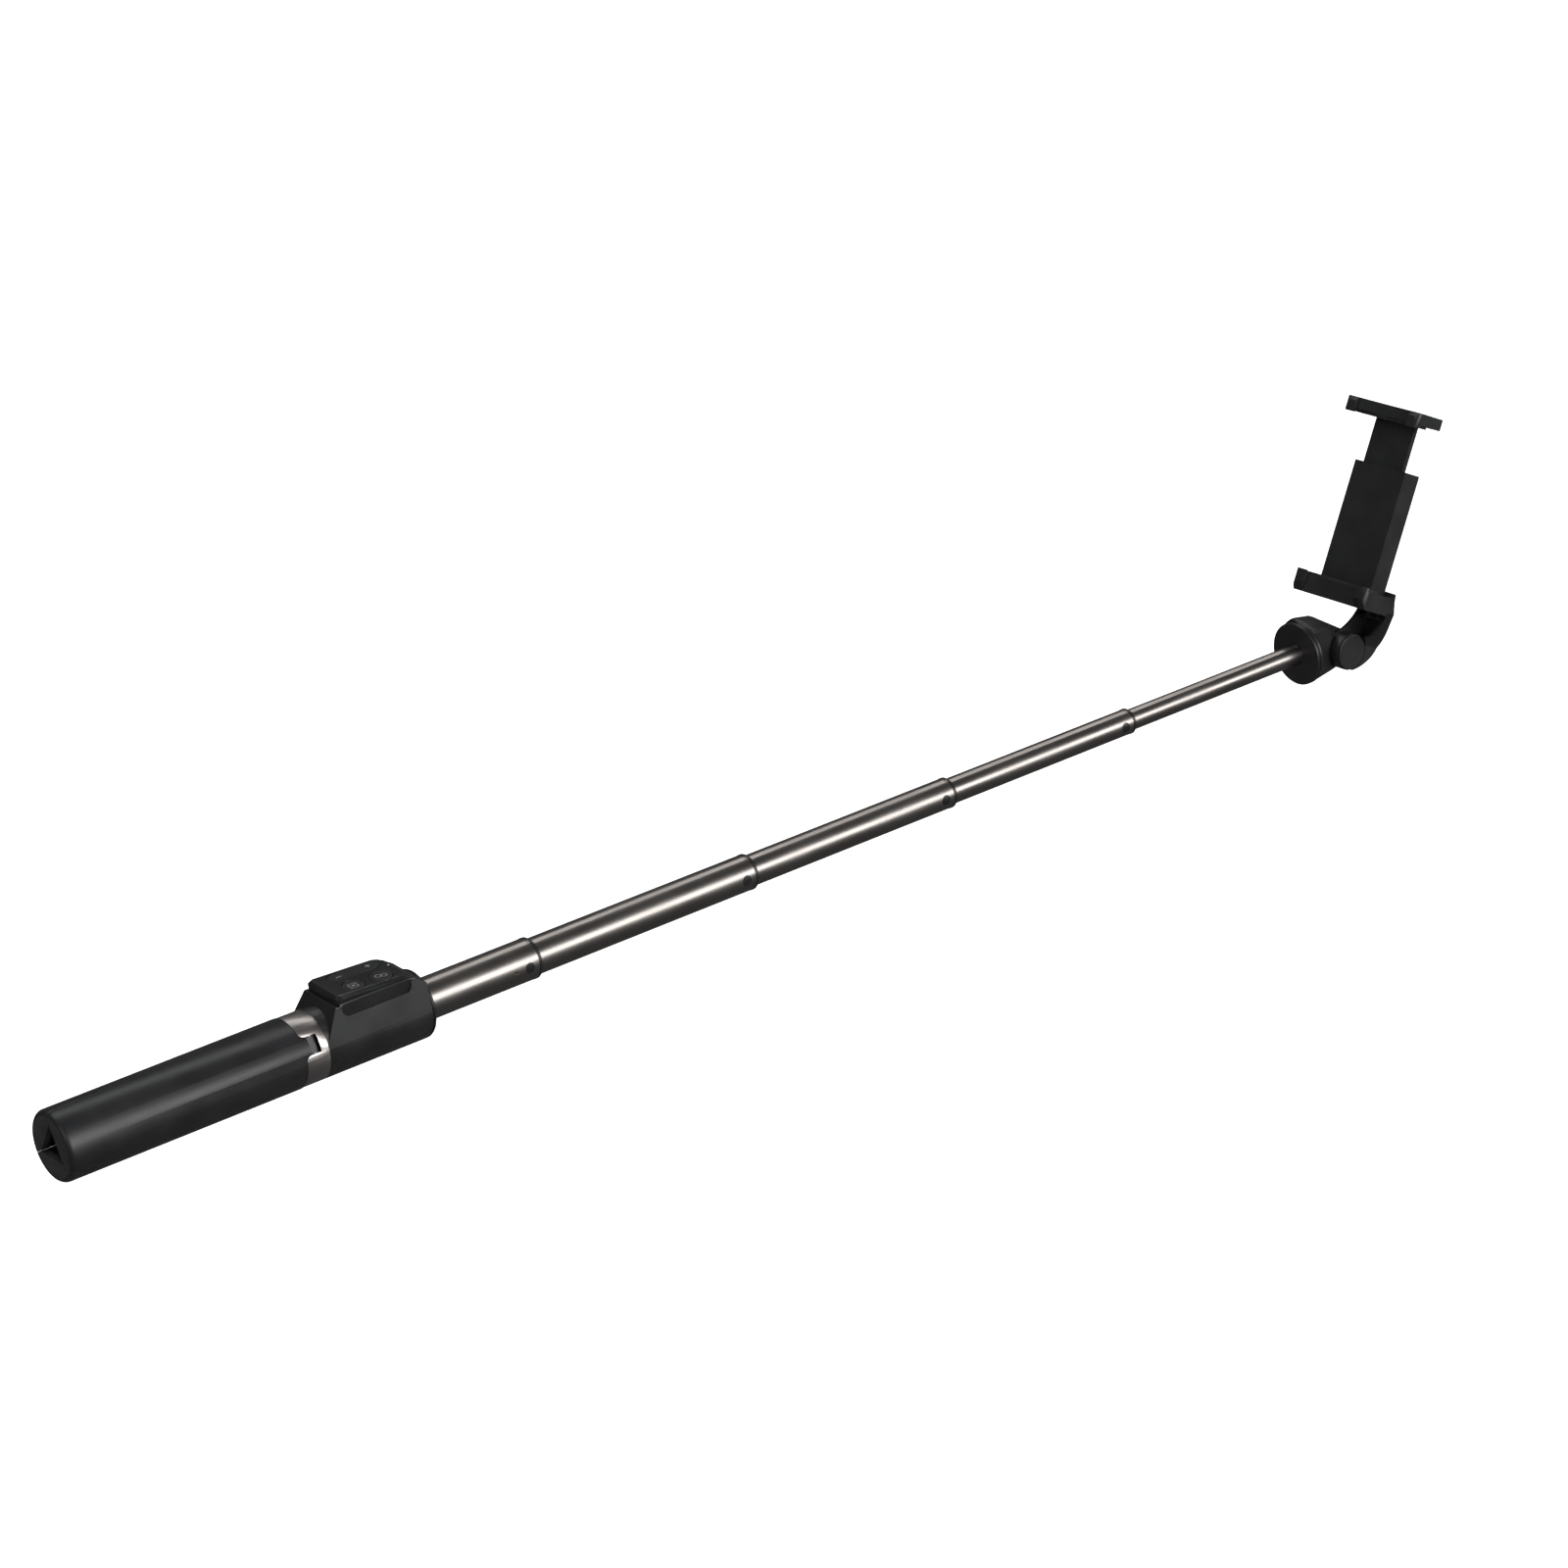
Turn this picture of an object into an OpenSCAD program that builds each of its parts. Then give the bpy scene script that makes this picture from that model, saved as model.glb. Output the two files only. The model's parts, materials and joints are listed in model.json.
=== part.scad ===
// Tripod selfie stick, shown extended with its phone clamp open.
// +X runs along the pole from the closed feet to the clamp, +Z is the remote's side.
// The origin is on the pole's axis, where the straight side of the closed handle begins,
// just past the rounded edge of the feet.

/* [Handle] */
// Diameter of the closed legs, the grip and the end disc
handle_d = 28; // [27.6:0.1:28.6]
// Length of the straight side of a closed leg
leg_l = 99; // [97:0.1:102]
// Length of the grip that holds the remote
grip_l = 46.3; // [46:0.1:49]
// Radius of the rounded edge at the feet
foot_fillet = 2.6; // [1.5:0.1:3]

/* [Pole] */
// Diameter of the first, widest tube
tube_d = 16.6; // [16.6:0.1:16.8]
// How much thinner each tube is than the one before it
tube_step = 1.9; // [1.9:0.01:1.92]
// Wall of every tube
tube_wall = 0.45; // [0.44:0.01:0.46]
// Length of each tube that shows when the pole is out
tube_show = [53, 106.5, 104, 99.5, 97.3];
// Length of each tube that stays inside the one before it
tube_overlap = 19; // [19:0.5:24]

/* [Remote] */
// Length of the remote
remote_l = 32.6; // [31:0.1:33]
// Width of the remote
remote_w = 21.2; // [20.6:0.1:21.4]
// Height of the remote's top above the pole's axis
remote_top = 20.3; // [20:0.1:20.8]

/* [Clamp] */
// Gap between the two jaws as shown
jaw_gap = 71.5; // [66:0.1:78]
// Width of each jaw
jaw_w = 43; // [42:0.1:44]
// Lean of the clamp away from square to the pole
tilt = 27; // [20:1:35]
// Turn of the neck about the pole
swivel = -3; // [-6:1:6]

/* [Hidden] */
$fn = 64;
eps = 0.01;

black = [0.07, 0.07, 0.075];
dark = [0.13, 0.13, 0.135];
rubber = [0.2, 0.2, 0.21];
gunmetal = [0.5, 0.47, 0.46];
steel = [0.7, 0.7, 0.72];

// ---- handle, from the feet end ----
handle_r = handle_d / 2;
grip_r = handle_r - 0.2;
cavity_r = 9.3;
shell_t = 1.8;
seam_gap = 0.05;
turns = [60, -60, 180];
pivot_x = leg_l + 5.4;
pivot_z = 11;
lug_r = 1.9;
lug_w = 6.4;
slot_w = 7;
tongue_x = leg_l + 2.8;
slot_end_x = leg_l + 7.1;
tongue_z = 12.5;
tab_corner = 2.6;
pin_r = 0.75;
ring_x0 = leg_l + 0.3;
ring_x1 = leg_l + 10.4;
feet_x = -foot_fillet;
pad_x0 = feet_x + 0.3;
pad_t = 2.9;
pad_r = 12.4;
pad_side = 4.6;
end_wall_t = 3;
bay_from = 5.4;
rib_t = 2;
bay_pitch = (leg_l - 3 - bay_from) / 3;

// ---- grip and remote ----
grip_x0 = ring_x1 + 0.1;
grip_x1 = grip_x0 + grip_l;
end_ring_l = 2.1;
mouth_x = grip_x1 + end_ring_l;
grip_bore_r = 9;
liner_l = 20;
bump_w = 21.2;
bump_round = 2.4;
bay_x0 = grip_x0 + 7.2;
bay_z = 13.1;
rim_z = 17.7;
remote_x0 = bay_x0 + 0.1;
remote_x1 = remote_x0 + remote_l;
base_w = remote_w - 3.2;
base_z0 = bay_z + 0.1;
base_z1 = rim_z + 0.1;
key_z0 = base_z1 + 0.45;
remote_fall = 1.2;
skin_t = 1.2;
rocker_x = remote_x0 + 17.6;
rocker_y = 5.1;
rocker_l = 22;
sign_x = 6.5;
key_w = 7;
key_y = -4.7;
lens_key_x = remote_x0 + 23.4;
shutter_key_x = remote_x0 + 11;
key_d = 8.6;
key_gap = 0.2;
sheet_z = base_z1 - 0.6;
light_x = remote_x0 + 31;
light_y = 1.5;

// ---- pole ----
lip_l = 1.5;
sleeve_l = 11;
slider_l = 6.5;
run_gap = 0.06;
boss_r = 2.1;
boss_x = 6;
boss_turn = 86;
groove_turn = 12;
groove_w = 2;
groove_d = 0.25;
function tube_r(i) = (tube_d - i * tube_step) / 2;
function tube_in(i) = tube_r(i) - tube_wall;
function shown_to(i) = i < 0 ? 0 : tube_show[i] + shown_to(i - 1);
function tube_x1(i) = mouth_x + shown_to(i);
function tube_x0(i) = i == 0 ? grip_x0 + 0.9 : tube_x1(i - 1) - tube_overlap;

// ---- end disc, neck and hinge ----
disc_x = tube_x1(4);
disc_t = 1.6;
disc_r = 13.8;
neck_x = disc_x + disc_t + 0.1;
hinge_x = disc_x + 20.7;
hinge_z = -2.2;
barrel_r = 8.3;
barrel_y0 = -4.2;
barrel_y1 = 12;
knuckle_r = 8;
knuckle_y0 = -13.5;
knuckle_y1 = barrel_y0 - 0.9;
hinge_pin_r = 2;
swivel_pin_r = 1.5;
washer_t = 0.8;
puck_t = 2.1;
neck_block_l = 11.5;
neck_floor_x = neck_x + 4.4;
cover_z = 5.4;

// ---- clamp, in the hinge's own frame: X is the clamp's back, Z runs up across the phone ----
jaw_front = -11.6;
phone_front = -10.3;
jaw_back = 7.2;
jaw_low = 19;
jaw_floor = 28.1;
claw_w = 6;
claw_lip = 0.4;
jaw_round = 2;
claw_t = 1.4;
recess_d = 3;
recess_bow = 1.4;
plate_front = -2;
plate_w = 30;
plate_top = 80;
plate_wall = 1.6;
slide_w = 23;
slide_t = 2.2;
slide_x0 = -0.6;
slide_l = 56;
cover_z0 = jaw_floor + 2;
cover_screw_z = [cover_z0 + 4, plate_top - 6];
upper_floor = jaw_floor + jaw_gap;
upper_h = 6.2;
upper_back = 5.3;
rod_r = 0.9;
rod_y = 8;
guide_x = 4;
lug_l = 3;
spring_r = 1.35;
wire_r = 0.2;
spring_turns = 12;
lug_top = upper_floor - slide_l + lug_l;

// ================= helpers =================

// extrudes a shape drawn in (Y, Z) along X
module rod_x(x0, x1) {
    translate([x0, 0, 0]) rotate([90, 0, 90]) linear_extrude(x1 - x0) children();
}

// turns a profile drawn as (radius, x) about the pole's axis
module turn_x() {
    rotate([90, 0, 90]) rotate_extrude($fn = 96) children();
}

module disc_x(x0, x1, r) {
    rod_x(x0, x1) circle(r, $fn = 96);
}

// a round bar along Y
module bar_y(x, z, r, y0, y1) {
    translate([x, y1, z]) rotate([90, 0, 0]) cylinder(r = r, h = y1 - y0);
}

module box(x0, x1, y0, y1, z0, z1) {
    translate([x0, y0, z0]) cube([x1 - x0, y1 - y0, z1 - z0]);
}

module pill(l, w) {
    hull() {
        translate([-(l - w) / 2, 0]) circle(w / 2);
        translate([(l - w) / 2, 0]) circle(w / 2);
    }
}

// ================= legs =================

// corner that opens upwards between two lines rising at an angle
module fan(angle) {
    polygon([[0, 0], 40 * [cos(angle), sin(angle)], [0, 60], 40 * [-cos(angle), sin(angle)]]);
}

// a leg's third of the round, less its half of each seam
module wedge() {
    translate([0, seam_gap / sin(60)]) fan(30);
}

// outline of the ring's slot seen from outside, wider by g: a slot with a flared mouth
module slot_outline(g) {
    mouth = slot_w / 2 + tab_corner;
    translate([leg_l - 0.8, -slot_w / 2 - g]) square([slot_end_x - leg_l + 0.8 + g, slot_w + 2 * g]);
    difference() {
        translate([leg_l - 0.8, -mouth]) square([tongue_x - leg_l + 0.8, 2 * mouth]);
        for (s = [-1, 1]) translate([tongue_x, s * mouth]) circle(tab_corner - g);
    }
}

module leg_profile() {
    polygon(concat(
        [[cavity_r, feet_x], [handle_r - foot_fillet, feet_x]],
        [for (a = [-80 : 10 : 0]) [handle_r - foot_fillet * (1 - cos(a)), foot_fillet * sin(a)]],
        [[handle_r, tongue_x], [cavity_r, tongue_x]]
    ));
}

module leg() {
    difference() {
        union() {
            intersection() {
                turn_x() leg_profile();
                rod_x(feet_x - 1, tongue_x + 1) wedge();
            }
            // wall behind the foot pad
            intersection() {
                disc_x(pad_x0 + pad_t, pad_x0 + pad_t + end_wall_t, handle_r - 0.6);
                rod_x(feet_x, 20) wedge();
                box(feet_x, 20, -20, 20, pad_side, 20);
            }
            // hinge lug
            box(leg_l - 2, pivot_x, -lug_w / 2, lug_w / 2, pivot_z - lug_r, pivot_z + lug_r);
            bar_y(pivot_x, pivot_z, lug_r, -lug_w / 2, lug_w / 2);
        }
        // seat of the foot pad
        intersection() {
            disc_x(feet_x - 1, pad_x0 + pad_t, pad_r + 0.1);
            box(feet_x - 2, 20, -20, 20, pad_side - 1, 20);
        }
        // hollow inside, in three bays
        for (i = [0 : 2]) {
            intersection() {
                disc_x(bay_from + i * bay_pitch, bay_from + (i + 1) * bay_pitch - rib_t,
                       handle_r - shell_t);
                rod_x(0, leg_l) translate([0, 3.5]) fan(33);
            }
        }
        // the shell stops at the ring, beside the tongue
        difference() {
            box(leg_l, tongue_x + 1, -20, 20, 0, 20);
            translate([0, 0, tongue_z]) linear_extrude(20) slot_outline(-0.35);
            linear_extrude(tongue_z) slot_outline(-0.9);
            box(0, 200, -lug_w / 2, lug_w / 2, pivot_z - lug_r, pivot_z + lug_r);
        }
        bar_y(pivot_x, pivot_z, pin_r + run_gap, -5, 5);
    }
}

module foot() {
    intersection() {
        disc_x(pad_x0, pad_x0 + pad_t, pad_r);
        box(feet_x, 20, -20, 20, pad_side, 20);
        rod_x(feet_x, 20) wedge();
    }
}

module hinge_ring() {
    difference() {
        disc_x(ring_x0, ring_x1, grip_r);
        disc_x(ring_x0 - 1, ring_x1 + 1, cavity_r);
        for (t = turns) rotate([t, 0, 0]) {
            translate([0, 0, 6]) linear_extrude(20) slot_outline(0);
            box(slot_end_x - 1, pivot_x + lug_r + 0.5, -slot_w / 2, slot_w / 2,
                pivot_z - lug_r - 0.5, pivot_z + 1.9);
            bar_y(pivot_x, pivot_z, pin_r, -6.6, 6.6);
        }
        screw_bars(5, 10);
    }
}

module hinge_pins() {
    for (t = turns) rotate([t, 0, 0]) bar_y(pivot_x, pivot_z, pin_r, -6.4, 6.4);
}

// bars of the three screws between the slots, from that far behind the ring's front face
module screw_bars(back, l) {
    for (t = turns) rotate([t + 60, 0, 0]) translate([ring_x1 - back, 0, 11.6])
        rotate([0, 90, 0]) cylinder(r = 0.8, h = l);
}

module ring_screws() {
    screw_bars(5, 9.6);
}

// ================= grip =================

// round grip with a raised top: its side walls run tangent to the round part
module grip_outline(h) {
    corner = [bump_w / 2, h - bump_round];
    reach = norm(corner);
    touch = atan2(corner[1], corner[0]) - acos(grip_r / reach);
    side = [grip_r * cos(touch), grip_r * sin(touch)];
    circle(grip_r, $fn = 96);
    polygon([
        [-side[0], side[1]], [-corner[0], corner[1]], [-corner[0] + bump_round, h],
        [corner[0] - bump_round, h], corner, side
    ]);
    for (s = [-1, 1]) translate([s * (corner[0] - bump_round), corner[1]]) circle(bump_round);
}

module grip_housing() {
    difference() {
        union() {
            disc_x(grip_x0, grip_x1, grip_r);
            // raised housing of the remote, with sloping ends
            intersection() {
                rod_x(grip_x0, grip_x1) grip_outline(rim_z + 0.5);
                rotate([90, 0, 0]) translate([0, 0, -20]) linear_extrude(40)
                    polygon([
                        [grip_x0, 0], [grip_x0, 5], [bay_x0 - 0.6, rim_z - 0.2], [bay_x0 + 3, rim_z + 0.2],
                        [remote_x1 - 6, rim_z - 0.2], [remote_x1 + 1.6, rim_z - 1],
                        [grip_x1 - 2, grip_r + 0.9], [grip_x1, grip_r - 0.4], [grip_x1, 0]
                    ]);
            }
        }
        disc_x(grip_x0 - 1, grip_x1 + 1, grip_bore_r);
        disc_x(grip_x1 - liner_l, grip_x1 + 1, grip_bore_r + 0.9);
        // bay of the remote, open at its top and rear
        box(bay_x0, remote_x1 - 1.2, -base_w / 2 - 0.1, base_w / 2 + 0.1, bay_z, 30);
        box(bay_x0 - 2, remote_x1 + 0.2, -remote_w / 2 - 0.1, remote_w / 2 + 0.1, rim_z, 30);
        box(bay_x0 - 6, bay_x0 + 1, -remote_w, remote_w, rim_z - 1, 30);
        // finger grips on both sides, under the remote
        for (s = [-1, 1]) translate([bay_x0 + 17, s * (bump_w / 2 - 0.3), 14.9]) rotate([s * -90, 0, 0])
            linear_extrude(2) pill(31, 5.4);
        screw_bars(1, 6);
    }
}

module grip_end_ring() {
    turn_x() polygon(concat(
        [[tube_r(0) + run_gap, grip_x1 + 0.05], [grip_r - 0.5, grip_x1 + 0.05]],
        [[grip_r - 0.5, grip_x1 + 0.5]],
        [for (a = [0 : 15 : 90]) [grip_r - 1.5 * (1 - cos(a)), grip_x1 + 0.6 + 1.5 * sin(a)]],
        [[tube_r(0) + run_gap, mouth_x]]
    ));
}

module grip_liner() {
    difference() {
        disc_x(grip_x1 - liner_l, grip_x1, grip_bore_r + 0.9);
        disc_x(grip_x1 - liner_l - 1, grip_x1 + 1, tube_r(0) + run_gap);
    }
}

// ================= remote =================

module key_shape(g) {
    translate([rocker_x, rocker_y]) pill(rocker_l + 2 * g, key_w + 2 * g);
    translate([lens_key_x, key_y]) circle(key_d / 2 + g);
    translate([shutter_key_x, key_y]) circle(key_d / 2 + g);
}

module remote_base() {
    difference() {
        box(remote_x0, remote_x1 - 1.5, -base_w / 2, base_w / 2, base_z0, base_z1);
        box(remote_x0 + 1, remote_x1 - 2.5, -base_w / 2 + 1, base_w / 2 - 1, base_z0 + 0.9, base_z1 + 1);
        // charging socket in the rear wall
        translate([remote_x0 - 1, 0, base_z0 + 2.4]) rotate([90, 0, 90]) linear_extrude(3) pill(8.4, 2.4);
    }
}

// thin round slice for a hull, at a corner that far in from the remote's side
module slice(x, side, inward, z, r) {
    translate([x, side * (remote_w / 2 - inward), z]) cylinder(r = r, h = eps, $fn = 32);
}

// block with rounded corners, whose top falls a little towards the pole
module remote_block(z0, z1) {
    fall_z = z1 - remote_fall;
    hull() for (s = [-1, 1]) {
        slice(remote_x0 + 2, s, 2, z0, 2);
        slice(remote_x1 - 5, s, 5, z0, 5);
        translate([remote_x0 + 2, s * (remote_w / 2 - 2), z1 - 1]) sphere(r = 1.2, $fn = 32);
        slice(remote_x0 + 1.9, s, 1.9, z1 - 1.2, 1.9);
        slice(remote_x1 - 5, s, 5, fall_z - 1, 5);
        slice(remote_x1 - 5.6, s, 5.4, fall_z - eps, 4.4);
        slice(remote_x0 + 2.6, s, 2.6, z1 - eps, 1.6);
    }
}

module remote_cover() {
    difference() {
        remote_block(rim_z + 0.12, remote_top);
        box(remote_x0 + 1.2, remote_x1 - 3.2, -base_w / 2 + 0.4, base_w / 2 - 0.4,
            rim_z, remote_top - remote_fall - skin_t);
        linear_extrude(40) key_shape(key_gap);
        translate([light_x, light_y, 0]) cylinder(r = 0.6, h = 40);
    }
}

module key_cap(r_top) {
    translate([0, 0, key_z0]) linear_extrude(r_top - key_z0) children();
}

module zoom_rocker() {
    difference() {
        key_cap(remote_top - 0.55) translate([rocker_x, rocker_y]) pill(rocker_l, key_w);
        // minus and plus, engraved
        translate([0, 0, remote_top - 0.7]) linear_extrude(1) {
            translate([rocker_x - sign_x, rocker_y]) square([2.4, 0.5], center = true);
            translate([rocker_x + sign_x, rocker_y]) square([2.4, 0.5], center = true);
            translate([rocker_x + sign_x, rocker_y]) square([0.5, 2.4], center = true);
        }
    }
}

module lens_key() {
    difference() {
        key_cap(remote_top - 0.75) translate([lens_key_x, key_y]) circle(key_d / 2);
        // two linked rings
        translate([0, 0, remote_top - 0.9]) linear_extrude(1)
            for (s = [-1, 1]) translate([lens_key_x + s * 1.1, key_y - s * 0.4]) difference() {
                circle(1.3);
                circle(0.9);
            }
    }
}

module shutter_key() {
    difference() {
        key_cap(remote_top - 0.45) translate([shutter_key_x, key_y]) circle(key_d / 2);
        // plain frame with a dot
        translate([shutter_key_x, key_y, remote_top - 0.6]) linear_extrude(1) {
            difference() {
                square(3.6, center = true);
                square(2.8, center = true);
            }
            circle(0.7);
        }
    }
}

module key_sheet() {
    box(remote_x0 + 1.3, remote_x1 - 3, -base_w / 2 + 1.2, base_w / 2 - 1.2, sheet_z - 0.3, sheet_z);
    // a rubber dome under each key, and one at each end of the rocker
    for (p = [[rocker_x - sign_x, rocker_y - 1], [rocker_x + sign_x, rocker_y - 1],
              [lens_key_x, key_y], [shutter_key_x, key_y]])
        translate([p[0], p[1], sheet_z - 0.1]) cylinder(r = 1.6, h = 0.7);
}

module circuit_board() {
    box(remote_x0 + 1.3, remote_x1 - 3, -base_w / 2 + 1.2, base_w / 2 - 1.2, sheet_z - 1.2, sheet_z - 0.4);
    for (p = [[6, -3, 3.4, 3.4], [16, 2, 5, 4], [25, -4, 2.4, 2]])
        translate([remote_x0 + p[0], p[1], sheet_z - 1.9]) cube([p[2], p[3], 0.75]);
}

module battery_cell() {
    translate([remote_x0 + 10, -base_w / 2 + 1.3, base_z0 + 1]) cube([18, base_w - 2.6, 1.1]);
}

module light_pipe() {
    translate([light_x, light_y, rim_z + 0.2]) cylinder(r = 0.55, h = 0.9);
}

// ================= pole =================

module tube(i) {
    metal_x1 = i == 4 ? disc_x : tube_x1(i) - lip_l;
    color(gunmetal) difference() {
        disc_x(tube_x0(i), metal_x1, tube_r(i));
        disc_x(tube_x0(i) - 1, metal_x1 + 1, tube_in(i));
        // shallow guide groove, clear of both ends
        rotate([groove_turn, 0, 0])
            box(tube_x0(i) + slider_l + 1, metal_x1 - 0.6, -groove_w / 2, groove_w / 2,
                tube_r(i) - groove_d, 20);
        // hole of the collar's boss
        if (i < 4) rotate([boss_turn, 0, 0]) translate([tube_x1(i) - boss_x, 0, 0])
            cylinder(r = boss_r + 0.05, h = 20);
        // dimple beside the boss of the first tube
        if (i == 0) rotate([boss_turn, 0, 0]) translate([tube_x1(i) - 12.4, 0, tube_r(i) + 0.3])
            sphere(r = 0.9);
    }
}

// plastic collar in the end of a tube, with a snap boss through the wall
module collar(i) {
    bore = tube_r(i + 1) + run_gap;
    difference() {
        union() {
            disc_x(tube_x1(i) - sleeve_l, tube_x1(i) - lip_l, tube_in(i));
            turn_x() polygon([
                [bore, tube_x1(i) - lip_l], [tube_r(i) + 0.12, tube_x1(i) - lip_l],
                [tube_r(i) + 0.12, tube_x1(i) - 0.5], [tube_r(i) - 0.25, tube_x1(i)], [bore, tube_x1(i)]
            ]);
            intersection() {
                rotate([boss_turn, 0, 0]) translate([tube_x1(i) - boss_x, 0, bore + 0.1])
                    cylinder(r = boss_r, h = 10);
                disc_x(tube_x0(i), tube_x1(i), tube_r(i) + 0.01);
            }
        }
        disc_x(tube_x1(i) - sleeve_l - 1, tube_x1(i) + 1, bore);
    }
}

// plastic ring on the hidden end of a tube, that slides in the tube before it
module slider(i) {
    outer = i == 0 ? grip_bore_r - run_gap : tube_in(i - 1) - run_gap;
    difference() {
        disc_x(tube_x0(i), tube_x0(i) + slider_l, outer);
        disc_x(tube_x0(i) - 1, tube_x0(i) + slider_l + 1, tube_r(i));
    }
}

// ================= neck =================

module end_disc() {
    difference() {
        union() {
            turn_x() polygon([
                [0, disc_x], [disc_r - 0.5, disc_x], [disc_r, disc_x + 0.5],
                [disc_r, disc_x + disc_t - 0.4], [disc_r - 0.4, disc_x + disc_t], [0, disc_x + disc_t]
            ]);
            disc_x(disc_x - 14, disc_x + 0.5, tube_in(4));
        }
        disc_x(disc_x - 13, disc_x + disc_t + 1, swivel_pin_r);
    }
}

module swivel_screw() {
    head_x = neck_floor_x + washer_t + 0.15;
    disc_x(disc_x - 12.9, head_x + 0.05, swivel_pin_r);
    difference() {
        disc_x(head_x, head_x + 1.85, 2.8);
        for (a = [0, 90]) rotate([a, 0, 0]) box(head_x + 1.05, head_x + 9, -1.6, 1.6, -0.3, 0.3);
    }
}

module swivel_washer() {
    difference() {
        disc_x(neck_floor_x + 0.1, neck_floor_x + 0.1 + washer_t, 3.2);
        disc_x(neck_floor_x, neck_floor_x + 4, swivel_pin_r + run_gap);
    }
}

// block behind the neck's disc, seen along the pole: flat sides, and a top that rises to +Y
module neck_outline() {
    polygon([
        [-8.6, 10.4], [-7.4, 12], [-5, 12.9], [2.4, 14.3], [5, 14.2], [7.9, 11.9], [10.2, 8],
        [10.2, -7.6], [7, -11.4], [3, -13], [-4, -12.9], [-7.6, -11], [-8.8, -8.8]
    ]);
}

module neck_solid() {
    turn_x() polygon(concat(
        [[0, neck_x], [disc_r - 0.4, neck_x], [disc_r, neck_x + 0.4]],
        [for (a = [0 : 15 : 90]) [disc_r - 1.2 * (1 - cos(a)), neck_x + puck_t - 1.2 + 1.2 * sin(a)]],
        [[0, neck_x + puck_t]]
    ));
    hull() {
        rod_x(neck_x + 1, neck_x + 3) neck_outline();
        rod_x(neck_x + neck_block_l - 1, neck_x + neck_block_l) scale([0.94, 0.9]) neck_outline();
        bar_y(hinge_x, hinge_z, barrel_r, barrel_y0, barrel_y1 - 1);
        bar_y(hinge_x, hinge_z, barrel_r - 1, barrel_y0, barrel_y1);
    }
}

// pocket over the screw, closed by the cover
module neck_pocket() {
    box(neck_floor_x, neck_floor_x + 8, -4, 6, -3.8, 20);
}

module neck() {
    difference() {
        neck_solid();
        bar_y(hinge_x, hinge_z, knuckle_r + 0.7, -30, barrel_y0);
        box(hinge_x - 3.6, hinge_x + 30, -30, barrel_y0, -30, 30);
        disc_x(neck_x - 1, neck_floor_x + 1, swivel_pin_r + run_gap);
        neck_pocket();
        bar_y(hinge_x, hinge_z, hinge_pin_r + run_gap, -30, 30);
        // seats of the nut and of the cap over it
        bar_y(hinge_x, hinge_z, 3.9, barrel_y1 - 5, barrel_y1 + 1);
        bar_y(hinge_x, hinge_z, 5.4, barrel_y1 - 1.2, barrel_y1 + 1);
    }
}

module neck_cover() {
    intersection() {
        neck_solid();
        box(neck_floor_x + 0.05, neck_floor_x + 7.95, -3.95, 5.95, cover_z, 20);
    }
}

module hinge_screw() {
    bar_y(hinge_x, hinge_z, hinge_pin_r, knuckle_y0 + 2.2, barrel_y1 - 1.6);
    bar_y(hinge_x, hinge_z, 3.6, knuckle_y0 + 1.3, knuckle_y0 + 3.2);
}

module hinge_nut() {
    translate([hinge_x, barrel_y1 - 1.7, hinge_z]) rotate([90, 0, 0]) difference() {
        cylinder(r = 3.6, h = 2.4, $fn = 6);
        translate([0, 0, -1]) cylinder(r = hinge_pin_r, h = 5);
    }
}

module hinge_washer() {
    difference() {
        bar_y(hinge_x, hinge_z, knuckle_r - 0.6, knuckle_y1 + 0.05, barrel_y0 - 0.05);
        bar_y(hinge_x, hinge_z, hinge_pin_r + run_gap, -30, 30);
    }
}

// round caps that hide the nut and the screw's head
module hinge_cap() {
    bar_y(hinge_x, hinge_z, 5.35, barrel_y1 - 1.1, barrel_y1 - 0.1);
}

module knuckle_cap() {
    on_hinge() {
        bar_y(0, 0, knuckle_r - 0.35, knuckle_y0 + 0.25, knuckle_y0 + 1.2);
        bar_y(0, 0, knuckle_r - 0.6, knuckle_y0, knuckle_y0 + 1.2);
    }
}

// ================= clamp =================

// places the clamp's own frame on the hinge
module on_hinge() {
    translate([hinge_x, 0, hinge_z]) rotate([0, tilt, 0]) children();
}

// outline of the arm seen from its side, from the knuckle round to the back plate
arm_outer = concat(
    bend([3, -7.4], [8, -5.4], [14.3, 0.4], [14.3, 6]),
    bend([14.3, 6], [14.3, 13], [8.6, 20], [jaw_back, 29])
);
arm_front = concat(bend([4.2, jaw_low + 0.5], [3, 14.5], [0, 10.5], [-5, 6.2]), [[0, -3]]);
near_front = bend([6, jaw_low + 0.1], [7, 15], [8.8, 9.8], [3.6, 7.4]);
arm_pocket = concat(bend([10, 0], [12.8, 5], [11.6, 11], [9.4, 16.2]), [[-9, 16.2], [-9, 0]]);
slot_floor = 8;
near_wall_y = -11.6;

// points along a smooth curve from a to d that leaves towards b and arrives from c
function bend(a, b, c, d) = [for (i = [0 : 12]) let (t = i / 12, u = 1 - t)
    u * u * u * a + 3 * u * u * t * b + 3 * u * t * t * c + t * t * t * d];

// extrudes a shape drawn in (X, Z) along Y
module plate_y(y0, y1) {
    translate([0, y1, 0]) rotate([90, 0, 0]) linear_extrude(y1 - y0) children();
}

// all that lies beside the near side, which leans out from the knuckle to y at the jaw's end
module beside_arm(y) {
    lean = jaw_w / 2 + knuckle_y0;
    translate([-30, y, 0]) rotate([0, 90, 0]) linear_extrude(60)
        polygon([[40, -3], [40, lean], [-4.5, lean], [-20.5, 0], [-20.5, -3]]);
}

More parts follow.
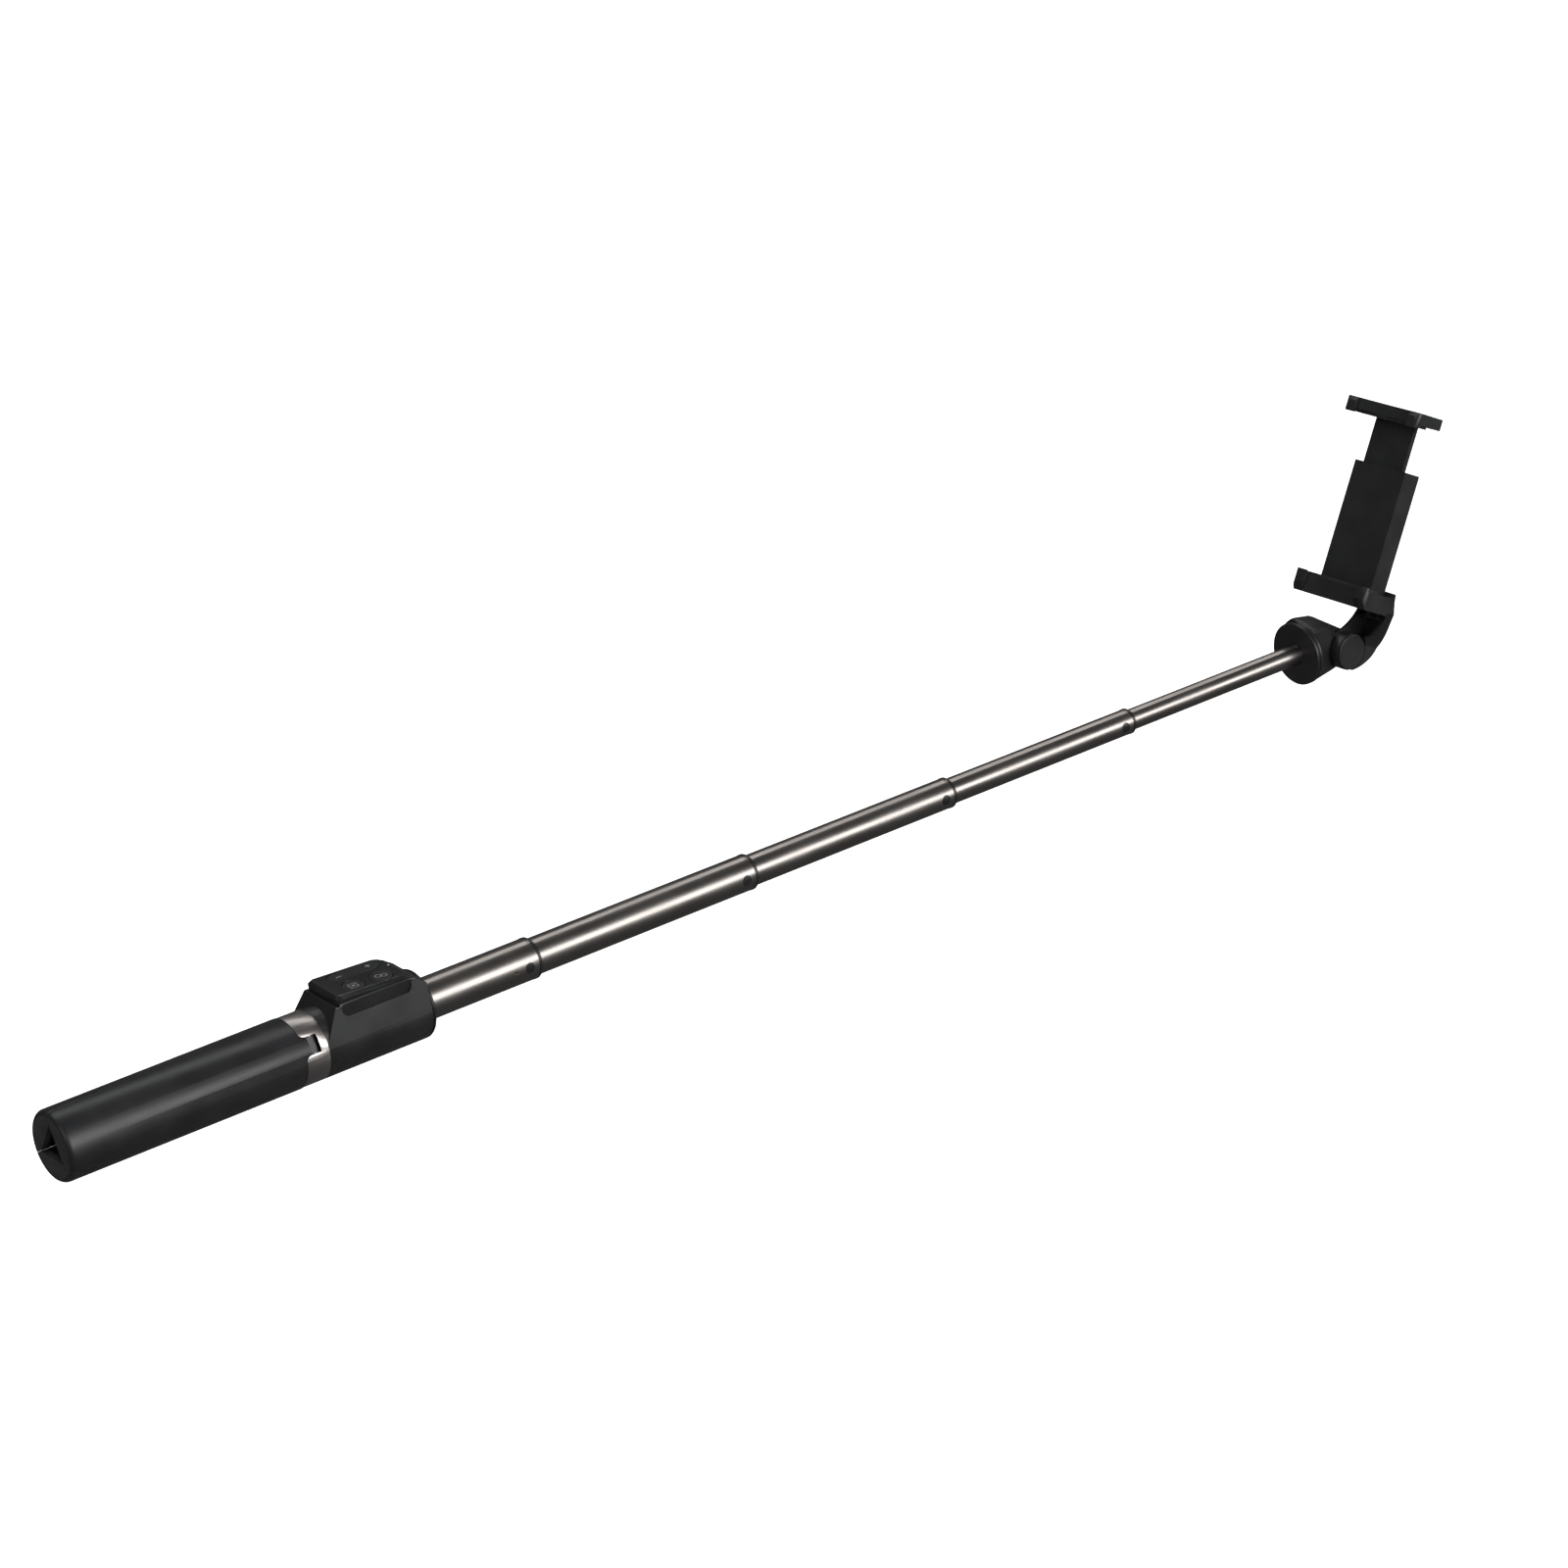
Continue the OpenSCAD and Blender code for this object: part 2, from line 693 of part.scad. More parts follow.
module arm_shell() {
    difference() {
        plate_y(-jaw_w / 2, knuckle_y1) polygon(concat(arm_outer, arm_front));
        // the near wall's front edge lies further back
        plate_y(-jaw_w, near_wall_y)
            polygon(concat([[-20, jaw_low + 0.1]], near_front, [[6.6, 4.4], [-20, 4.4]]));
        beside_arm(-jaw_w / 2);
        difference() {
            plate_y(-jaw_w / 2, knuckle_y1 - 1.6) polygon(arm_pocket);
            beside_arm(-jaw_w / 2 + 1.8);
        }
        // three notches over a cross bar, under the jaw
        for (i = [0 : 2]) box(-4, slot_floor, -19.6 + i * 4.6, -16 + i * 4.6, 16.9, jaw_low);
    }
}

// jaw outline seen from above the phone's edge: two claws with a hollow curve between them
module jaw_outline(back) {
    half = jaw_w / 2;
    difference() {
        translate([jaw_front, -half]) square([back - jaw_front, jaw_w]);
        polygon(concat(
            [for (i = [-8 : 8]) [jaw_front + recess_d - recess_bow * i * i / 64, i * (half - claw_w) / 8]],
            [[jaw_front - 1, half - claw_w], [jaw_front - 1, claw_w - half]]
        ));
        for (s = [-1, 1]) for (x = [jaw_front, back]) {
            inward = x == back ? -1 : 1;
            translate([x, s * half]) difference() {
                square(2 * jaw_round, center = true);
                translate([inward * jaw_round, -s * jaw_round]) circle(jaw_round);
            }
        }
    }
}

// cuts the claws' fronts back at a slope, above z or below it
module front_slope(z, above) {
    for (side = [0, 1]) mirror([0, side, 0]) translate([jaw_front, 0, z]) rotate([0, above ? 30 : -30, 0])
        translate([-10, jaw_w / 2 - claw_w - 0.3, above ? 0 : -10]) cube([10, claw_w + 1.3, 10]);
}

// the claws' front lips, that reach past the phone's edge
module claw_lips(z0, z1) {
    for (s = [-1, 1]) translate([0, 0, z0]) linear_extrude(z1 - z0) intersection() {
        jaw_outline(jaw_back);
        translate([jaw_front, s * (jaw_w - claw_w) / 2 - claw_w / 2]) square([claw_t, claw_w]);
    }
}

module lower_jaw() {
    difference() {
        translate([0, 0, jaw_low]) linear_extrude(jaw_floor - jaw_low - 1.2) jaw_outline(jaw_back);
        // hollow under the floor
        box(jaw_front + 5, plate_front - 1, -jaw_w / 2 + 2, jaw_w / 2 - 2, jaw_low - 1, jaw_floor - 3.4);
        front_slope(jaw_low + 4, false);
    }
    claw_lips(jaw_floor - 1.2, jaw_floor + claw_lip);
}

module back_plate() {
    box(plate_front, jaw_back, -plate_w / 2, plate_w / 2, jaw_low, plate_top);
}

module slide_room() {
    floor_z = jaw_low + 5;
    side_y = slide_w / 2 + 0.1;
    // slot of the slide, open at the top
    box(slide_x0 - 0.1, slide_x0 + slide_t + 0.1, -side_y, side_y, floor_z, plate_top + 1);
    // room behind it for the springs, closed by the cover
    box(slide_x0 + slide_t, jaw_back - 1.35, -side_y, side_y, floor_z, plate_top - plate_wall);
    // seat of the cover
    box(jaw_back - 1.4, 20, -side_y, side_y, cover_z0 - 0.1, plate_top - plate_wall);
    for (s = [-1, 1]) translate([guide_x, s * rod_y, floor_z - 1.4])
        cylinder(r = rod_r, h = plate_top - floor_z + 0.6);
}

module clamp_arm() {
    on_hinge() difference() {
        union() {
            lower_jaw();
            back_plate();
            arm_shell();
            bar_y(0, 0, knuckle_r, knuckle_y0 + 1.2, knuckle_y1);
            bar_y(0, 0, knuckle_r - 0.3, knuckle_y0 + 0.3, knuckle_y0 + 1.3);
        }
        bar_y(0, 0, hinge_pin_r + run_gap, -30, 30);
        bar_y(0, 0, 3.7, knuckle_y0 + 1.25, knuckle_y0 + 3.3);
        bar_y(0, 0, knuckle_r - 0.3, -30, knuckle_y0 + 1.25);
        // the arm clears the neck's barrel
        bar_y(0, 0, barrel_r + 0.5, knuckle_y1, 20);
        slide_room();
    }
}

module pad_shape(z0, z1) {
    box(phone_front + 2.6, plate_front - 0.1, -jaw_w / 2 + 2.4, jaw_w / 2 - 2.4, z0, z1);
    for (s = [-1, 1]) translate([0, s * (jaw_w / 2 - claw_w / 2), 0])
        box(jaw_front + claw_t, phone_front + 3, -claw_w / 2 + 0.7, claw_w / 2 - 0.7, z0, z1);
}

module lower_pad() {
    on_hinge() pad_shape(jaw_floor - 1.2, jaw_floor);
}

module back_cover() {
    on_hinge() difference() {
        box(jaw_back - 1.3, jaw_back, -slide_w / 2, slide_w / 2, cover_z0, plate_top - plate_wall - 0.1);
        for (z = cover_screw_z) translate([0, 0, z]) rotate([0, 90, 0]) cylinder(r = 1.1, h = 20);
    }
}

module cover_screws() {
    on_hinge() for (z = cover_screw_z) translate([jaw_back - 1.2, 0, z])
        rotate([0, 90, 0]) cylinder(r = 1.1, h = 1);
}

// two rods that guide the slide and carry the springs
module guide_rods() {
    on_hinge() for (s = [-1, 1]) translate([guide_x, s * rod_y, jaw_low + 3.7])
        cylinder(r = rod_r, h = plate_top - jaw_low - 4.5);
}

// half of one spring turn, rising from one side to the other
module half_turn(lean, side) {
    rotate([0, lean, 0]) intersection() {
        rotate_extrude($fn = 32) translate([spring_r, 0]) circle(wire_r, $fn = 16);
        translate([-4, side > 0 ? 0 : -8, -4]) cube(8);
    }
}

module spring(z0, z1) {
    rise = (z1 - z0) / (2 * spring_turns);
    lean = asin(rise / (2 * spring_r));
    for (i = [0 : 2 * spring_turns - 1]) translate([0, 0, z0 + (i + 0.5) * rise]) {
        side = i % 2 == 0 ? 1 : -1;
        half_turn(side * lean, side);
        translate([-side * spring_r * cos(lean), 0, rise / 2]) sphere(r = wire_r + 0.01, $fn = 16);
    }
}

module clamp_springs() {
    end_room = wire_r + 0.05;
    on_hinge() for (s = [-1, 1]) translate([guide_x, s * rod_y, 0])
        spring(lug_top + end_room, plate_top - plate_wall - end_room);
}

module upper_jaw() {
    on_hinge() difference() {
        union() {
            translate([0, 0, upper_floor + 1.2]) linear_extrude(upper_h - 1.2) jaw_outline(upper_back);
            claw_lips(upper_floor - claw_lip, upper_floor + 1.2);
            box(slide_x0, slide_x0 + slide_t, -slide_w / 2, slide_w / 2,
                upper_floor - slide_l, upper_floor + 2);
            // lug that rides on both rods and pushes the springs up
            box(slide_x0, guide_x + 1.75, -slide_w / 2, slide_w / 2, lug_top - lug_l, lug_top);
        }
        for (s = [-1, 1]) translate([guide_x, s * rod_y, lug_top - lug_l - 1])
            cylinder(r = rod_r + run_gap, h = lug_l + 2);
        // hollow over the pad
        box(jaw_front + 5, plate_front - 1, -jaw_w / 2 + 2, jaw_w / 2 - 2,
            upper_floor - 1, upper_floor + upper_h - 3.4);
        front_slope(upper_floor + upper_h - 1.8, true);
    }
}

module upper_pad() {
    on_hinge() pad_shape(upper_floor, upper_floor + 1.2);
}

// ================= the parts =================

color(black) rotate([turns[0], 0, 0]) leg();  // leg_a
color(black) rotate([turns[1], 0, 0]) leg();  // leg_b
color(black) rotate([turns[2], 0, 0]) leg();  // leg_c
color(rubber) rotate([turns[0], 0, 0]) foot();  // foot_a
color(rubber) rotate([turns[1], 0, 0]) foot();  // foot_b
color(rubber) rotate([turns[2], 0, 0]) foot();  // foot_c
color(gunmetal) hinge_ring();
color(steel) hinge_pins();
color(steel) ring_screws();
color(black) grip_housing();
color(black) grip_end_ring();
color(dark) grip_liner();
color(dark) remote_base();
color(dark) remote_cover();
color(black) zoom_rocker();
color(black) lens_key();
color(black) shutter_key();
color(rubber) key_sheet();
color([0.1, 0.35, 0.2]) circuit_board();
color(steel) battery_cell();
color([0.9, 0.9, 0.9]) light_pipe();
tube(0);  // tube_1
tube(1);  // tube_2
tube(2);  // tube_3
tube(3);  // tube_4
tube(4);  // tube_5
color(black) collar(0);  // collar_1
color(black) collar(1);  // collar_2
color(black) collar(2);  // collar_3
color(black) collar(3);  // collar_4
color(dark) slider(0);  // slider_1
color(dark) slider(1);  // slider_2
color(dark) slider(2);  // slider_3
color(dark) slider(3);  // slider_4
color(dark) slider(4);  // slider_5
color(black) end_disc();
color(steel) swivel_screw();
color(steel) rotate([swivel, 0, 0]) swivel_washer();
color(black) rotate([swivel, 0, 0]) neck();
color(black) rotate([swivel, 0, 0]) neck_cover();
color(steel) rotate([swivel, 0, 0]) hinge_screw();
color(steel) rotate([swivel, 0, 0]) hinge_nut();
color(steel) rotate([swivel, 0, 0]) hinge_washer();
color(black) rotate([swivel, 0, 0]) hinge_cap();
color(black) rotate([swivel, 0, 0]) knuckle_cap();
color(black) rotate([swivel, 0, 0]) clamp_arm();
color(rubber) rotate([swivel, 0, 0]) lower_pad();
color(dark) rotate([swivel, 0, 0]) back_cover();
color(steel) rotate([swivel, 0, 0]) cover_screws();
color(steel) rotate([swivel, 0, 0]) guide_rods();
color(steel) rotate([swivel, 0, 0]) clamp_springs();
color(black) rotate([swivel, 0, 0]) upper_jaw();
color(rubber) rotate([swivel, 0, 0]) upper_pad();
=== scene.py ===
"""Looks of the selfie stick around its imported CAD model, in metres."""

import json
import math

import bmesh
import bpy
from mathutils import Matrix, Vector


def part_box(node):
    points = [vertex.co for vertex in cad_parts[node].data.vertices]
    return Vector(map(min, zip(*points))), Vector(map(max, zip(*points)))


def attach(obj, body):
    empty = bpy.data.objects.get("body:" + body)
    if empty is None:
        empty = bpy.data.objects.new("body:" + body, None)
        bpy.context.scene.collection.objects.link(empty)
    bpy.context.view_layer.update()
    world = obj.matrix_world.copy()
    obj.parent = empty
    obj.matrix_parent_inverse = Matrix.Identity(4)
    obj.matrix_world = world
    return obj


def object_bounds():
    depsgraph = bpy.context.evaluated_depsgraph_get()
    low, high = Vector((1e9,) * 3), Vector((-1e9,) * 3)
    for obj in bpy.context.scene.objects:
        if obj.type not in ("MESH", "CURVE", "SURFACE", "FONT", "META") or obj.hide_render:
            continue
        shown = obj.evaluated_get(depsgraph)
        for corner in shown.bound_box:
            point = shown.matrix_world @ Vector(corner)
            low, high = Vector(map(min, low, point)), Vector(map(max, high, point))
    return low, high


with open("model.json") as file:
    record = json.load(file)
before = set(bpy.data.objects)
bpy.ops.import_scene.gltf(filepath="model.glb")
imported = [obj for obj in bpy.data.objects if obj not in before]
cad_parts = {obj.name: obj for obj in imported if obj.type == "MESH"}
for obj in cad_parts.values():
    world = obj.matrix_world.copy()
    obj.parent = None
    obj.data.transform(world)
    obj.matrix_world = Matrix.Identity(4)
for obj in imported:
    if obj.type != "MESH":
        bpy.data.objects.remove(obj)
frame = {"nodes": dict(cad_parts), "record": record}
cad_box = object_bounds()
nodes = frame["nodes"]
slots = {part["node"]: part["material_slot"] for part in frame["record"]["subparts"]}
MM = 0.001

# ---------------------------------------------------------------- camera and stage

CAMERA_AT = Vector((-0.7352, -1.3873, 0.8335))
CAMERA_FORWARD = Vector((0.5564, 0.7193, -0.4160))
CAMERA_UP = Vector((0.299, 0.294, 0.908))
LENS_MM = 112.5
SENSOR_MM = 36
FLOOR_DROP = 0.25
FLOOR_SIZE = 30
FLOOR_COLOR = (0.95, 0.95, 0.95)
WORLD_COLOR = (0.97, 0.98, 1.0)
WORLD_LIGHT = 0.08
SKY_LIGHT = 3.7
SKY_ANGLE = 120
POLE_MIDDLE = Vector((0.32, 0, 0))


def look(direction, up):
    """The turn that points an object's -Z axis along direction and keeps its top towards up."""
    back = -direction.normalized()
    right = up.cross(back).normalized()
    return Matrix((right, back.cross(right), back)).transposed().to_4x4()


def add_camera():
    camera = bpy.data.objects.new("camera", bpy.data.cameras.new("camera"))
    bpy.context.scene.collection.objects.link(camera)
    camera.matrix_world = Matrix.Translation(CAMERA_AT) @ look(CAMERA_FORWARD, CAMERA_UP)
    camera.data.lens = LENS_MM
    camera.data.sensor_width = SENSOR_MM
    camera.data.clip_start = 0.01
    bpy.context.scene.camera = camera


def add_sky():
    """Even light from above that whitens the whole floor and isn't mirrored in the object."""
    sky = bpy.data.lights.new("sky", "SUN")
    sky.energy = SKY_LIGHT
    sky.angle = math.radians(SKY_ANGLE)
    lamp = bpy.data.objects.new("sky", sky)
    lamp.visible_glossy = False
    bpy.context.scene.collection.objects.link(lamp)


def add_light(name, toward, distance, length, height, watts):
    """A soft light whose long side runs along the pole, seen from the pole in one direction."""
    light = bpy.data.lights.new(name, "AREA")
    light.shape = "RECTANGLE"
    light.size = length
    light.size_y = height
    light.energy = watts
    lamp = bpy.data.objects.new(name, light)
    bpy.context.scene.collection.objects.link(lamp)
    direction = Vector(toward).normalized()
    across = Vector((0, direction.y, direction.z)).normalized()
    turn = look(-across, Vector((1, 0, 0)).cross(across))
    lamp.matrix_world = Matrix.Translation(POLE_MIDDLE + distance * direction) @ turn


def add_stage():
    world = bpy.data.worlds.new("studio")
    world.use_nodes = True
    background = world.node_tree.nodes["Background"]
    background.inputs["Color"].default_value = (*WORLD_COLOR, 1)
    background.inputs["Strength"].default_value = WORLD_LIGHT
    bpy.context.scene.world = world
    bpy.context.scene.view_settings.view_transform = "Standard"

    bpy.ops.mesh.primitive_plane_add(size=FLOOR_SIZE, location=(0, 0, cad_box[0][2] - FLOOR_DROP))
    floor = bpy.context.object
    floor.name = "floor"
    floor.data.materials.append(floor_paint())
    floor.visible_glossy = False

    add_light("front_band", (0.55, -0.80, 0.30), 2.6, 5.0, 1.05, 86)
    add_light("top_band", (0.45, 0.55, 0.95), 2.4, 5.0, 0.6, 24)
    add_light("feet_fill", (-1.0, -0.25, 0.35), 1.6, 0.8, 0.8, 4)
    add_sky()


# ---------------------------------------------------------------- shader helpers

NOISE_LOW = 0.3
NOISE_HIGH = 0.7


def shader(name):
    """A new material with its node tree and its Principled node."""
    material = bpy.data.materials.new(name)
    material.use_nodes = True
    return material, material.node_tree, material.node_tree.nodes["Principled BSDF"]


def floor_paint():
    material, _, surface = shader("floor")
    surface.inputs["Base Color"].default_value = (*FLOOR_COLOR, 1)
    surface.inputs["Roughness"].default_value = 0.95
    surface.inputs["Specular IOR Level"].default_value = 0.0
    return material


def place(tree, scale):
    """Object coordinates in metres, stretched by scale."""
    coords = tree.nodes.new("ShaderNodeTexCoord")
    mapping = tree.nodes.new("ShaderNodeMapping")
    mapping.inputs["Scale"].default_value = scale
    tree.links.new(coords.outputs["Object"], mapping.inputs["Vector"])
    return mapping.outputs["Vector"]


def noise(tree, scale, detail=3.0, rough=0.55):
    """Noise whose cells are 1/scale metres, by axis."""
    texture = tree.nodes.new("ShaderNodeTexNoise")
    texture.inputs["Scale"].default_value = 1.0
    texture.inputs["Detail"].default_value = detail
    texture.inputs["Roughness"].default_value = rough
    tree.links.new(place(tree, scale), texture.inputs["Vector"])
    return texture.outputs["Fac"]


def spread(tree, value, low, high):
    """Maps the middle of a noise's range to low and high."""
    node = tree.nodes.new("ShaderNodeMapRange")
    node.inputs["From Min"].default_value = NOISE_LOW
    node.inputs["From Max"].default_value = NOISE_HIGH
    node.inputs["To Min"].default_value = low
    node.inputs["To Max"].default_value = high
    tree.links.new(value, node.inputs["Value"])
    return node.outputs["Result"]


def tint(tree, value, dark, light, start=NOISE_LOW, stop=NOISE_HIGH):
    """Colour ramp from dark, where the value is at start, to light at stop."""
    ramp = tree.nodes.new("ShaderNodeValToRGB")
    ramp.color_ramp.elements[0].position = start
    ramp.color_ramp.elements[1].position = stop
    ramp.color_ramp.elements[0].color = (*dark, 1)
    ramp.color_ramp.elements[1].color = (*light, 1)
    tree.links.new(value, ramp.inputs["Fac"])
    return ramp.outputs["Color"]


def bump(tree, surface, height, depth_mm, strength):
    """Relief of the surface, depth_mm deep where the strength is 1."""
    node = tree.nodes.new("ShaderNodeBump")
    node.inputs["Strength"].default_value = strength
    node.inputs["Distance"].default_value = depth_mm * MM
    tree.links.new(height, node.inputs["Height"])
    tree.links.new(node.outputs["Normal"], surface.inputs["Normal"])


def even(mm):
    """Scale of a texture whose cells are this many millimetres in every direction."""
    return (1 / (mm * MM),) * 3


# ---------------------------------------------------------------- materials

def moulded(name, color, rough, grain_mm=0.22, depth_mm=0.012, spec=0.5):
    """Moulded plastic: fine spark-eroded grain, soft blotches in gloss, faint handling marks."""
    material, tree, surface = shader(name)
    blotch = noise(tree, even(14), 2.0)
    grain = noise(tree, even(grain_mm), 2.0)
    dark = tuple(c * 0.82 for c in color)
    light = tuple(c * 1.22 for c in color)
    tree.links.new(tint(tree, blotch, dark, light), surface.inputs["Base Color"])
    tree.links.new(spread(tree, blotch, rough - 0.035, rough + 0.035), surface.inputs["Roughness"])
    surface.inputs["Specular IOR Level"].default_value = spec
    bump(tree, surface, grain, depth_mm, 0.35)
    return material


def brushed(name, dark, light, rough, scale, depth_mm=0.006):
    """Brushed metal: fine lines along one direction in colour, gloss and relief."""
    material, tree, surface = shader(name)
    lines = noise(tree, scale, 4.0, 0.7)
    blotch = noise(tree, even(30), 2.0)
    tree.links.new(tint(tree, lines, dark, light, 0.25, 0.75), surface.inputs["Base Color"])
    tree.links.new(spread(tree, blotch, rough - 0.03, rough + 0.05), surface.inputs["Roughness"])
    surface.inputs["Metallic"].default_value = 1.0
    bump(tree, surface, lines, depth_mm, 0.3)
    return material


def rubber(name, color, rough):
    """Soft rubber: matte, slightly pebbled."""
    material, tree, surface = shader(name)
    pebble = noise(tree, even(0.35), 3.0)
    dust = noise(tree, even(5), 3.0)
    light = tuple(c * 1.5 for c in color)
    tree.links.new(tint(tree, dust, color, light), surface.inputs["Base Color"])
    tree.links.new(spread(tree, dust, rough - 0.05, rough + 0.05), surface.inputs["Roughness"])
    surface.inputs["Specular IOR Level"].default_value = 0.3
    bump(tree, surface, pebble, 0.03, 0.5)
    return material


def foil(name, color, rough):
    """Wrinkled foil round the cell."""
    material, tree, surface = shader(name)
    folds = noise(tree, even(1.6), 4.0)
    light = tuple(min(1, c * 1.3) for c in color)
    tree.links.new(tint(tree, folds, color, light), surface.inputs["Base Color"])
    tree.links.new(spread(tree, folds, rough - 0.06, rough + 0.06), surface.inputs["Roughness"])
    surface.inputs["Metallic"].default_value = 1.0
    bump(tree, surface, folds, 0.1, 0.5)
    return material


def milky(name):
    """Light guide: milky plastic."""
    material, tree, surface = shader(name)
    cloud = noise(tree, even(0.8), 2.0)
    tree.links.new(tint(tree, cloud, (0.55, 0.56, 0.58), (0.8, 0.8, 0.8)), surface.inputs["Base Color"])
    tree.links.new(spread(tree, cloud, 0.25, 0.35), surface.inputs["Roughness"])
    return material


def icon_paint(name):
    """Pale filling of the engraved signs, a little worn."""
    material, tree, surface = shader(name)
    wear = noise(tree, even(0.5), 3.0)
    tree.links.new(tint(tree, wear, (0.08, 0.08, 0.085), (0.15, 0.15, 0.155)), surface.inputs["Base Color"])
    tree.links.new(spread(tree, wear, 0.45, 0.6), surface.inputs["Roughness"])
    return material


BLACK = (0.0050, 0.0052, 0.0057)
ALONG_POLE = (1 / 0.06, 1 / 0.00012, 1 / 0.00012)
ROUND_POLE = (1 / 0.00012, 1 / 0.012, 1 / 0.012)

paints = {
    "handle_plastic": moulded("handle_plastic", BLACK, 0.40),
    "foot_rubber": rubber("foot_rubber", (0.009, 0.009, 0.0095), 0.72),
    "hinge_metal": brushed("hinge_metal", (0.33, 0.305, 0.29), (0.48, 0.45, 0.43), 0.33, ROUND_POLE),
    "steel": brushed("steel", (0.42, 0.42, 0.43), (0.62, 0.62, 0.63), 0.28, even(0.3)),
    "bushing_plastic": moulded("bushing_plastic", (0.01, 0.01, 0.01), 0.5),
    "remote_plastic": moulded("remote_plastic", (0.0045, 0.0047, 0.0052), 0.30, 0.3, 0.006),
    "key_plastic": moulded("key_plastic", (0.0065, 0.0067, 0.0072), 0.36, 0.2, 0.008),
    "key_rubber": rubber("key_rubber", (0.06, 0.06, 0.06), 0.7),
    "board": moulded("board", (0.01, 0.09, 0.04), 0.35, 0.6, 0.02),
    "cell": foil("cell", (0.5, 0.5, 0.5), 0.3),
    "light": milky("light"),
    "tube_metal": brushed("tube_metal", (0.225, 0.207, 0.194), (0.34, 0.318, 0.30), 0.31, ALONG_POLE),
    "collar_plastic": moulded("collar_plastic", (0.0045, 0.0045, 0.005), 0.36, 0.3, 0.006),
    "neck_plastic": moulded("neck_plastic", BLACK, 0.42),
    "clamp_plastic": moulded("clamp_plastic", BLACK, 0.43),
    "pad_rubber": rubber("pad_rubber", (0.008, 0.008, 0.0085), 0.72),
}

# ---------------------------------------------------------------- softer edges on the CAD nodes

WELD_MM = 0.002
FLAT_ANGLE = math.radians(0.5)
BEVEL_ANGLE = math.radians(38)
EDGE_MM = {
    "leg_a": 0.22, "leg_b": 0.22, "leg_c": 0.22, "hinge_ring": 0.16, "grip_housing": 0.3,
    "end_disc": 0.2, "neck": 0.35, "knuckle_cap": 0.15, "clamp_arm": 0.3, "upper_jaw": 0.3,
    "remote_cover": 0.12, "zoom_rocker": 0.15, "lens_key": 0.12, "shutter_key": 0.12,
    "foot_a": 0.2, "foot_b": 0.2, "foot_c": 0.2, "back_cover": 0.2,
}


def soften(node, width_mm):
    """Joins the split corners and rounds the hard edges."""
    weld = node.modifiers.new("weld", "WELD")
    weld.merge_threshold = WELD_MM * MM
    flat = node.modifiers.new("flat", "DECIMATE")
    flat.decimate_type = "DISSOLVE"
    flat.angle_limit = FLAT_ANGLE
    bevel = node.modifiers.new("edges", "BEVEL")
    bevel.limit_method = "ANGLE"
    bevel.angle_limit = BEVEL_ANGLE
    bevel.width = width_mm * MM
    bevel.segments = 2
    bevel.use_clamp_overlap = True
    bevel.harden_normals = True


for name, node in nodes.items():
    node.data.materials.clear()
    node.data.materials.append(paints[slots[name]])
    if name in EDGE_MM:
        soften(node, EDGE_MM[name])

# ---------------------------------------------------------------- filled signs on the keys

ICON_PAINT = icon_paint("icon_paint")
SIGN_DEPTH = 0.15 * MM
SIGN_RISE = 0.06 * MM
BAR = 2.4
BAR_WIDTH = 0.5


def extruded(name, loops, z, rise):
    """Thin solids from z up, one for each pair of an outline in X and Y and its hole or None."""
    mesh = bmesh.new()
    for outer, inner in loops:
        count = len(outer)
        low = [mesh.verts.new((*p, z)) for p in outer]
        high = [mesh.verts.new((*p, z + rise)) for p in outer]
        for i in range(count):
            j = (i + 1) % count
            mesh.faces.new((low[i], low[j], high[j], high[i]))
        if not inner:
            mesh.faces.new(high)
            mesh.faces.new(low[::-1])
            continue
        low_in = [mesh.verts.new((*p, z)) for p in inner]
        high_in = [mesh.verts.new((*p, z + rise)) for p in inner]
        for i in range(count):
            j = (i + 1) % count
            mesh.faces.new((low_in[j], low_in[i], high_in[i], high_in[j]))
            mesh.faces.new((high[i], high[j], high_in[j], high_in[i]))
            mesh.faces.new((low[j], low[i], low_in[i], low_in[j]))
    data = bpy.data.meshes.new(name)
    mesh.to_mesh(data)
    mesh.free()
    data.materials.append(ICON_PAINT)
    piece = bpy.data.objects.new(name, data)
    bpy.context.scene.collection.objects.link(piece)
    return piece


